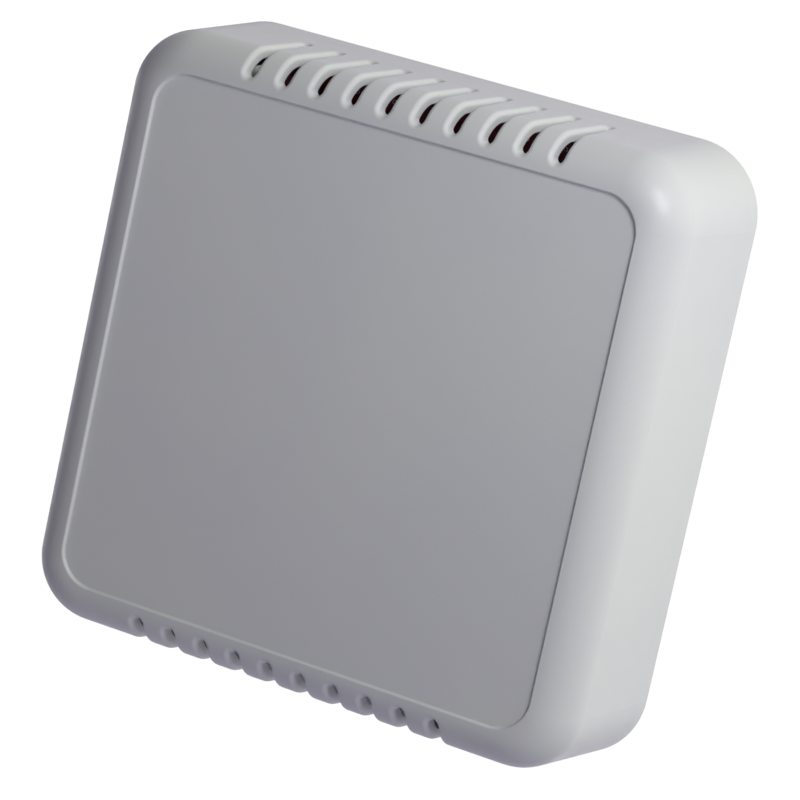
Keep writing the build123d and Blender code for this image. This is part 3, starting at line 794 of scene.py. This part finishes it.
# ------------------------ leads and ends of the parts

def gull_lead(p, x, y, out, width, height, foot=0.7, thick=0.15):
    """A lead that leaves a body at a height above the board, bends down and lies on the board.

    out is its direction and foot the length that lies down.
    """
    ox, oy = out
    root, low = BOARD_TOP + height, BOARD_TOP + FILM + thick / 2
    heel = 0.66
    shape = [(-0.12, root), (0.30, root), (0.42, root - 0.06), (0.55, low + 0.1), (heel, low),
             (heel + foot, low)]
    p.strap([(x + ox * d, y + oy * d, z) for d, z in shape], (oy, ox, 0), width, thick)


def part_leads():
    """Bent leads of the transformer module, the supply chips and the bridge diodes."""
    p = Piece()
    for along in spread(WAYS, LEAD_PITCH):
        for side, edge in ((-1, MAGNETICS[2]), (1, MAGNETICS[3])):
            gull_lead(p, middle(MAGNETICS)[0] + along, edge, (0, side), width=0.5, height=2.0)
    for box in solids("power_chips"):
        count = 4 if box[3] - box[2] > 4 else 3
        for along in spread(count, 1.1):
            for side, edge in ((-1, box[0]), (1, box[1])):
                gull_lead(p, edge, middle(box)[1] + along, (side, 0), width=0.38, height=0.7, foot=0.45)
    for box in solids("rectifier_diodes"):
        for side, edge in ((-1, box[0]), (1, box[1])):
            gull_lead(p, edge, middle(box)[1], (side, 0), width=1.5, height=1.1, foot=0.3, thick=0.2)
    p.place("part_leads", looks["tin_plate"], "tin_plate", stands_for=("lan_magnetics_pins",))


def end_caps(p, box, share):
    """Tinned ends with solder climbing them, on a part that lies along x."""
    x0, x1, y0, y1, z0, z1 = box
    skin, reach = 0.03, (x1 - x0) * share
    climb = (z1 - z0) * 0.55
    for side, end in ((-1, x0), (1, x1)):
        inner, outer = sorted((end - side * reach, end + side * skin))
        p.slab(inner, outer, y0 - skin, y1 + skin, z0, z1 + skin, 0.07)
        toe, heel, low = end + side * 0.45, end + side * skin * 0.5, z0 + 0.005
        p.skin([[(heel, y, low), (toe, y, low), (toe - side * 0.06, y, low + 0.05),
                 (end + side * 0.2, y, low + climb * 0.35), (heel, y, low + climb)] for y in (y0, y1)])


def part_ends():
    """Tinned ends of the chip parts, the lamps and the fuse, and the inductor's two tabs."""
    p = Piece()
    shares = {"chip_resistors": 0.18, "chip_capacitors": 0.22, "status_leds": 0.2, "fuse": 0.22}
    for node, share in shares.items():
        for box in solids(node):
            end_caps(p, box, share)
    inductor = node_box("power_inductor")
    y, low = middle(inductor)[1], inductor[4]
    tab = [(-0.1, 2.6), (0.12, 2.5), (0.14, 0.25), (1.0, 0.12)]         # outwards and up
    for side, edge in ((-1, inductor[0]), (1, inductor[1])):
        p.strap([(edge + side * out, y, low + up) for out, up in tab], (0, 1, 0), 3.0, 0.18)
    p.place("part_ends", looks["tin_plate"], "tin_plate")


def chip_markings():
    """Pin-one dots and cathode bands on the black parts."""
    p = Piece()
    dot, paint = 0.28, 0.012
    for box in [MAGNETICS] + solids("power_chips"):
        p.turn(box[0] + 1.0, box[3] - 1.0, [(dot, box[5]), (dot, box[5] + paint)], 18)
    for box in solids("rectifier_diodes"):
        p.slab(box[0] + 0.5, box[0] + 1.0, box[2] + 0.05, box[3] - 0.05, box[5], box[5] + paint)
    p.place("chip_markings", looks["board_marking"], "moulded_epoxy")


# ------------------------ larger parts

def capacitor_sleeves():
    """Shrunk film round each can, turned in over its top, with a pale stripe down one side."""
    film, stripe = Piece(), Piece()
    groove = 10.65              # height of the groove rolled into the can
    for box in BIG_CANS:
        x, y = middle(box)
        radius, low, high = (box[1] - box[0]) / 2, box[4], box[5]
        outer = radius + 0.04
        waist = outer - 0.28
        film.turn(x, y, [(radius - 0.4, low + 0.02), (outer, low + 0.35), (outer, groove - 0.4),
                         (waist, groove - 0.12), (waist, groove + 0.12), (outer, groove + 0.4),
                         (outer, high - 0.5), (outer - 0.14, high - 0.14), (outer - 0.5, high + 0.04),
                         (outer - 0.95, high + 0.045), (outer - 0.97, high - 0.1)], 48)
        inner, skin = outer - 0.02, outer + 0.012
        foot, head = groove + 0.6, high - 0.7
        band = [(inner, foot), (skin, foot), (skin, head), (inner, head)]
        stripe.turn(x, y, band, 10, start=150.0, sweep=44.0)
    film.place("capacitor_sleeves", looks["sleeve_film"], "capacitor_can")
    stripe.place("capacitor_stripes", looks["board_marking"], "capacitor_can")


def capacitor_vent_shade_lines():
    """Painted shade: dark strips on the bare tops standing for the shade in the scored lines, where a can
    would open.
    """
    p = Piece()
    reach = 2.2
    for box in BIG_CANS:
        x, y = middle(box)
        for turn in (90.0, 210.0, 330.0):
            dx, dy = math.cos(math.radians(turn)) * reach, math.sin(math.radians(turn)) * reach
            # each strip is near-black only as painted shade of a scored groove in the bare metal
            p.strap([(x, y, box[5]), (x + dx, y + dy, box[5])], (0, 0, 1), 0.03, 0.16)
    p.place("capacitor_vent_shade_lines", looks["ferrite"], "capacitor_can")


def transformer_trim():
    """Tape round the core, and wires from the winding down to the pins."""
    tape, wires = Piece(), Piece()
    core = node_box("transformer_core")
    cx, cy = middle(core)
    x0, x1, y0, y1, z0 = core[:5]
    thick = 0.12
    for a0, a1 in ((x0 - thick, x0), (x1, x1 + thick)):
        tape.slab(a0, a1, y0 - thick, y1 + thick, z0 + 1.2, z0 + 7.0, 0.04)
    tape.place("core_tape", looks["winding_tape"], "winding_tape")
    winding = node_box("transformer_winding")
    low = winding[4]
    for box in solids("transformer_pins"):
        px, py = middle(box)
        side = math.copysign(1, py - cy)
        x, y = cx + (px - cx) * 0.55, (winding[3] if side > 0 else winding[2]) - side * 0.1
        edge = py + side * 1.15
        wires.wire([(x, y, low + 0.6), (x, y + side * 0.25, low + 0.5), (px, edge, low - 0.9),
                    (px, edge, BOARD_TOP + 0.7), (px, edge - side * 0.2, BOARD_TOP + 0.25)], 0.11)
    wires.place("winding_ends", looks["enamelled_wire"], "winding_tape")


def jack_trim():
    """Spring fingers, back folds and board legs of the jack's shell, and its eight bent contacts."""
    x0, x1, y0, y1, z0, z1 = node_box("jack_shell")
    shell, springs = Piece(), Piece()
    sheet = 0.2
    stations = (4.5, 6.5, 9.5, 10.8)            # of a finger's bends, from the shell's back
    for side, edge in ((-1, x0), (1, x1)):
        for z in (z0 + 3.6, z0 + 7.6):
            finger = [(edge + side * out, y1 - s, z) for s, out in zip(stations, (0, 0.32, 0.36, 0.05))]
            shell.strap(finger, (0, 0, 1), 1.7, sheet)
    for x in (-4.2, 4.2):
        finger = [(x, y1 - s, z1 + out) for s, out in zip(stations, (0, 0.3, 0.34, 0.05))]
        shell.strap(finger, (1, 0, 0), 2.0, sheet)
    for x in (-1.1, 1.1):
        shell.strap([(x, y1 - 0.3, z1 + 0.06), (x, y1 - 2.6, z1 + 0.06)], (1, 0, 0), 1.2, 0.12)
    for x in (x0 - 0.1, x1 + 0.1):
        shell.strap([(x, y0 + 2.0, z0 + 2.0), (x, y0 + 2.0, BOARD_LOW - 1.0)], (0, 1, 0), 1.6, sheet)
    shell.place("jack_fingers", looks["tin_plate"], "tin_plate")
    for box in solids("jack_contacts"):
        x = middle(box)[0]
        low, front, back = box[4] + 0.12, box[2], box[3]
        springs.strap([(x, back, low), (x, front + 0.6, low), (x, front + 0.1, low + 0.15),
                       (x, front + 0.1, low + 0.5), (x, front + 0.6, low + 0.75), (x, back - 3.0, low + 2.6),
                       (x, back - 1.8, low + 2.9), (x, back - 0.9, low + 2.7)], (1, 0, 0), 0.36, 0.16)
    springs.place("contact_springs", looks["gold_contact"], "gold_contact", stands_for=("jack_contacts",))


def shield_trim():
    """Sprung dimples along the lid's skirt that grip the frame."""
    x0, x1, y0, y1, z0, z1 = node_box("shield_lid")
    p = Piece()
    z = (z0 + z1) / 2 - 0.1
    size, rise, sides = 0.42, 0.14, 12
    angles = [2 * math.pi * k / sides for k in range(sides)]

    def dimple(x, y, ox, oy):
        rings = []
        for share, out in ((1.0, 0.0), (0.75, 0.6), (0.4, 0.92), (0.12, 1.0)):
            r, d = size * share, rise * out
            across = [(r * math.cos(a), r * math.sin(a)) for a in angles]
            rings.append([(x + ox * d + oy * c, y + oy * d + ox * c, z + up) for c, up in across])
        p.skin(rings)

    for k in range(6):
        x = x0 + (k + 0.5) * (x1 - x0) / 6
        dimple(x, y0, 0, -1)
        dimple(x, y1, 0, 1)
    for k in range(4):
        y = y0 + (k + 0.5) * (y1 - y0) / 4
        dimple(x0, y, -1, 0)
        dimple(x1, y, 1, 0)
    p.place("lid_dimples", looks["tin_plate"], "tin_plate")


def push_pins():
    """Nylon pins with their coil springs, which press the heat sink on the pad."""
    pins, springs = Piece(), Piece()
    stem, head = 0.72, 1.6
    coil_radius, coil_rise, turns, points = 1.2, 0.56, 2.5, 60
    seat = node_box("thermal_pad_upper")[5] + 1.5
    for box in solids("heat_sink_pins"):
        x, y = middle(box)
        tip, top = box[4], box[5]
        pins.turn(x, y, [(0.45, tip), (0.95, tip + 0.75), (0.95, tip + 0.95), (stem, BOARD_LOW - 0.02),
                         (stem, seat + 0.7), (1.25, seat + 0.75), (head, seat + 0.82), (head, top - 0.25),
                         (1.45, top - 0.06), (1.2, top)], 32)
        coil = []
        for i in range(points + 1):
            a = 2 * math.pi * turns * i / points
            coil.append((x + coil_radius * math.cos(a), y + coil_radius * math.sin(a),
                         seat + 0.1 + coil_rise * i / points))
        springs.wire(coil, 0.1, 6)
    pins.place("push_pins", looks["white_nylon"], "white_nylon", stands_for=("heat_sink_pins",))
    springs.place("push_pin_springs", looks["screw_steel"], "screw_steel")


def switch_trim():
    """Four rivets and four legs of the reset switch."""
    box = node_box("reset_switch_base")
    x, y = middle(box)
    top = node_box("reset_switch_cover")[5]
    rivets, legs = Piece(), Piece()
    apart = 2.35
    dome = [(0.36, top - 0.02), (0.34, top + 0.1), (0.2, top + 0.18), (0.05, top + 0.2)]
    for sx, edge in ((-1, box[0]), (1, box[1])):
        for sy in (-1, 1):
            rivets.turn(x + sx * apart, y + sy * apart, dome, 16)
            gull_lead(legs, edge, y + sy * 2.2, (sx, 0), width=0.7, height=0.9, foot=0.4)
    rivets.place("switch_rivets", looks["black_nylon"], "black_nylon")
    legs.place("switch_legs", looks["tin_plate"], "tin_plate")


def post_trim():
    """A soft dark red sleeve round each slim post, and a white cap on its end."""
    sleeves, caps = Piece(), Piece()
    foot, joint, top = 2.05, 20.0, 21.75
    neck, sleeve, cap = 1.45, 1.72, 1.53        # radii
    for x, y in POSTS:
        sleeves.turn(x, y, [(sleeve, foot), (sleeve, joint - 0.15), (1.6, joint), (neck, joint)], 32)
        caps.turn(x, y, [(neck, joint), (cap, joint + 0.1), (cap, top - 0.85), (1.42, top - 0.5),
                         (1.2, top - 0.2), (0.85, top)], 32)
    sleeves.place("post_sleeves", looks["red_rubber"], "grommet_rubber")
    caps.place("post_caps", looks["white_nylon"], "white_nylon")


def lamp_lenses():
    """Small clear lenses on the status lamps."""
    p = Piece()
    for box in LEDS:
        x, y = middle(box)
        p.slab(x - 0.42, x + 0.42, y - 0.36, y + 0.36, box[5] - 0.05, box[5] + 0.12, 0.1)
    p.place("lamp_lenses", looks["light_pipe"], "led_resin")


def terminal_trim():
    """A rib between the two ways, keys on the sides, and a rim round each screw's hole."""
    x0, x1, y0, y1, z0, z1 = node_box("terminal_housing")
    p = Piece()
    cy = (y0 + y1) / 2
    rise, sunk, soft = 0.3, 0.05, 0.08
    p.slab(x0 + 0.4, x1 - 0.4, cy - 0.25, cy + 0.25, z1 - sunk, z1 + rise, soft)
    for near_edge, far_edge in ((y0 - rise, y0 + sunk), (y1 - sunk, y1 + rise)):
        for x in (x0 + 2.0, x1 - 2.4):
            p.slab(x - 0.5, x + 0.5, near_edge, far_edge, z0 + 0.4, z1 - 1.2, soft)
    for screw in ("terminal_screw_plus", "terminal_screw_minus"):
        sx, sy = middle(node_box(screw))
        p.hoop(sx, sy, [(1.98, z1 - 0.02), (2.25, z1 - 0.02), (2.2, z1 + 0.16), (2.02, z1 + 0.16)], 32)
    p.place("terminal_ribs", looks["terminal_nylon"], "terminal_nylon")


for build in (board_tracks, board_pads, board_inking, solder_joints, part_leads, part_ends, chip_markings,
              capacitor_sleeves, capacitor_vent_shade_lines, transformer_trim, jack_trim, shield_trim, push_pins,
              switch_trim, post_trim, lamp_lenses, terminal_trim):
    build()

SOFT_EDGES = {
    "heat_sink": 0.12, "terminal_housing": 0.12, "transformer_core": 0.15, "transformer_bobbin": 0.08,
    "debug_header": 0.12, "lan_magnetics": 0.06, "power_chips": 0.08, "rectifier_diodes": 0.08, "fuse": 0.08,
    "chip_capacitors": 0.06, "power_inductor": 0.15, "jack_shell": 0.08, "shield_lid": 0.08,
    "reset_switch_base": 0.1, "board_screws": 0.05, "entry_grommet": 0.15, "main_board": 0.05,
}
for name, width in SOFT_EDGES.items():
    round_edges(nodes[name], width)


# ------------------------ camera and light

CAMERA_AZIMUTH = 24.5       # degrees from the front towards +X
CAMERA_ELEVATION = 11.22
CAMERA_ROLL = 12.22         # degrees that the object leans to the right in the picture
CAMERA_RANGE = 0.5636
CAMERA_LENS = 187.4
CAMERA_TARGET = Vector((0.00324, -0.0125, -0.0005))
KEY_PLACE, KEY_TARGET = Vector((0.16, -0.15, 0.16)), Vector((0.01, -0.02, 0.01))
KEY_SIZE, KEY_POWER = 0.1, 0.285
KEY_COLOUR = (0.985, 1.0, 1.05)


def add_camera():
    """The view that the object is shown from."""
    azimuth, elevation = math.radians(CAMERA_AZIMUTH), math.radians(CAMERA_ELEVATION)
    back = Vector((math.sin(azimuth) * math.cos(elevation), -math.cos(azimuth) * math.cos(elevation),
                   math.sin(elevation)))
    data = bpy.data.cameras.new("camera")
    data.lens = CAMERA_LENS
    data.sensor_width = 36.0
    data.clip_start, data.clip_end = 0.01, 50.0
    camera = bpy.data.objects.new("camera", data)
    turn = back.to_track_quat("Z", "Y").to_matrix().to_4x4()
    roll = Matrix.Rotation(math.radians(CAMERA_ROLL), 4, "Z")
    camera.matrix_world = Matrix.Translation(CAMERA_TARGET + back * CAMERA_RANGE) @ turn @ roll
    bpy.context.scene.collection.objects.link(camera)
    bpy.context.scene.camera = camera


def add_key():
    """A soft round lamp in front, above and to the right."""
    data = bpy.data.lights.new("key", "AREA")
    data.shape = "DISK"
    data.size = KEY_SIZE
    data.energy = KEY_POWER
    data.color = KEY_COLOUR
    light = bpy.data.objects.new("key", data)
    aim = (KEY_PLACE - KEY_TARGET).to_track_quat("Z", "Y").to_matrix().to_4x4()
    light.matrix_world = Matrix.Translation(KEY_PLACE) @ aim
    light.visible_camera = False
    bpy.context.scene.collection.objects.link(light)


AMBIENT = 0.445                         # soft light from all round
AMBIENT_LEAN = (0.33, 0.50, -0.14)      # how much more of it comes from +X, +Y and +Z
AMBIENT_TINT = (0.960, 0.955, 1.135)    # its colour: cool, and a little violet
TINT_ALONG_X = (0.01, 0.075, -0.24)     # how its colour changes towards +X
TINT_ALONG_Z = (0.03, 0.015, -0.26)     # and towards +Z


def add_world():
    """An even studio dome, brighter behind and to the right, with a slow change of tint across it."""
    world = bpy.data.worlds.new("studio")
    bpy.context.scene.world = world
    world.use_nodes = True
    tree = world.node_tree
    tree.nodes.clear()
    output = tree.nodes.new("ShaderNodeOutputWorld")
    background = tree.nodes.new("ShaderNodeBackground")
    direction = tree.nodes.new("ShaderNodeTexCoord").outputs["Generated"]
    dot = tree.nodes.new("ShaderNodeVectorMath")
    dot.operation = "DOT_PRODUCT"
    dot.inputs[1].default_value = AMBIENT_LEAN
    tree.links.new(direction, dot.inputs[0])
    level = tree.nodes.new("ShaderNodeMath")
    level.inputs[1].default_value = AMBIENT
    tree.links.new(dot.outputs["Value"], level.inputs[0])
    tree.links.new(level.outputs["Value"], background.inputs["Strength"])
    split = tree.nodes.new("ShaderNodeSeparateXYZ")
    tree.links.new(direction, split.inputs["Vector"])
    tints = []
    for axis, change in (("X", TINT_ALONG_X), ("Z", TINT_ALONG_Z)):
        tint = tree.nodes.new("ShaderNodeVectorMath")
        tint.operation = "MULTIPLY_ADD"
        tree.links.new(split.outputs[axis], tint.inputs[0])
        tint.inputs[1].default_value = change
        tint.inputs[2].default_value = AMBIENT_TINT
        tints.append(tint)
    tree.links.new(tints[0].outputs["Vector"], tints[1].inputs[2])
    tree.links.new(tints[1].outputs["Vector"], background.inputs["Color"])
    tree.links.new(background.outputs["Background"], output.inputs["Surface"])


FLOOR_DROP = 0.25           # from the object's lowest point
STAGE_HALF = 8.0            # half the side of the floor and of the card under it
ROOM_HALF = 3.8             # half the side of the backdrop, which stands all round
FLOOR_GLOW = 0.74
WHITE = (1.0, 1.0, 1.0)


def stage_piece(name, corners, faces, shader):
    """A floor, card or backdrop from its corners and faces."""
    mesh = bpy.data.meshes.new(name)
    mesh.from_pydata(corners, [], faces)
    mesh.materials.append(shader.material)
    made = bpy.data.objects.new(name, mesh)
    bpy.context.scene.collection.objects.link(made)
    return made


def for_camera_only(made):
    """Let the camera see a stage piece without it lighting the object."""
    made.visible_diffuse = False
    made.visible_glossy = False
    made.visible_transmission = False
    made.visible_volume_scatter = False
    made.visible_shadow = False


def stage_floor(shader, z, colour, glow):
    """A level square with a matt colour and a glow, which may be a number or a node's output."""
    shader.set(base_color=colour, roughness=0.9, emission_color=WHITE, emission_strength=glow)
    half = STAGE_HALF
    corners = [(-half, -half, z), (half, -half, z), (half, half, z), (-half, half, z)]
    return stage_piece(shader.material.name, corners, [(0, 1, 2, 3)], shader)


def add_stage():
    """A pale floor and backdrop, and under the floor a card that throws light back up at the object."""
    z = cad_box[0][2] - FLOOR_DROP
    floor = stage_floor(Shader("floor"), z, (0.82, 0.82, 0.83), FLOOR_GLOW)
    for_camera_only(floor)

    card_shader = Shader("bounce_card")
    along = card_shader.part(card_shader.coords, "Y")
    behind = card_shader.scale(along, 0.0, 0.8, 0.15, 0.6)
    far_in_front = card_shader.scale(along, 0.2, 0.0, -1.6, -0.5)
    glow = card_shader.math("ADD", behind, far_in_front)
    card = stage_floor(card_shader, z - MM, (0.80, 0.77, 1.0), glow)
    card.visible_camera = False

    reach = (-ROOM_HALF, ROOM_HALF)
    corners = [(x, y, height) for x in reach for y in reach for height in reach]
    faces = [(0, 1, 3, 2), (4, 6, 7, 5), (0, 4, 5, 1), (2, 3, 7, 6), (0, 2, 6, 4), (1, 5, 7, 3)]
    room_shader = Shader("backdrop")
    room_shader.set(base_color=(0.0, 0.0, 0.0), emission_color=WHITE, emission_strength=1.0)
    for_camera_only(stage_piece("backdrop", corners, faces, room_shader))


bpy.context.scene.view_settings.view_transform = "Standard"
add_camera()
add_world()
add_key()
add_stage()
